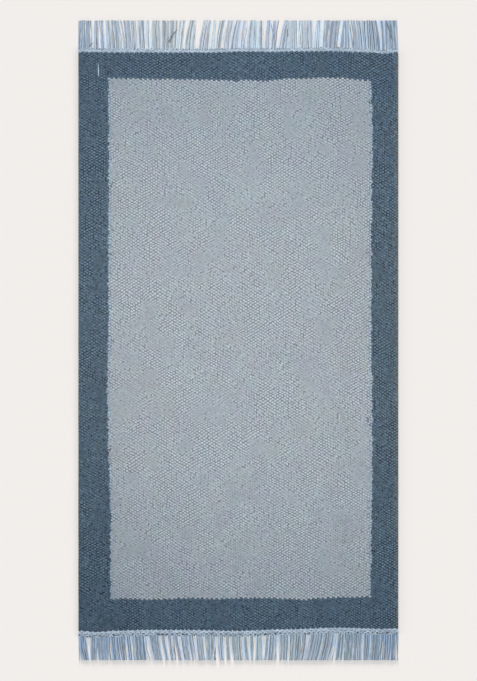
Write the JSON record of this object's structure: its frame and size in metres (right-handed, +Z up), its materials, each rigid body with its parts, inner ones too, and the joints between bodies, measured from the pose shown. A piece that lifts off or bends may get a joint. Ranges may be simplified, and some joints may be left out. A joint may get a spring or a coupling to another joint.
{
  "type": "flatweave rug",
  "caption": "Plain rectangular flatweave wool rug with a darker woven border and a cut warp fringe at both ends, laid flat.",
  "frame": {"origin": "on the floor under the middle of the rug", "axes": "+Y along the rug's length, towards the end at the top of the picture, +X across its width, +Z up from the floor"},
  "size_m": [0.7, 1.4, 0.005],
  "materials": {
    "woven_wool": "matt weft-faced wool weave, grey-blue field with a slate-blue border",
    "fringe_wool": "matt pale grey-blue wool warp yarn, looped at the heading and cut at the tips"
  },
  "bodies": {
    "root": {"woven_cloth": "woven_wool", "fringe_top": "fringe_wool", "fringe_bottom": "fringe_wool"}
  },
  "joints": []
}
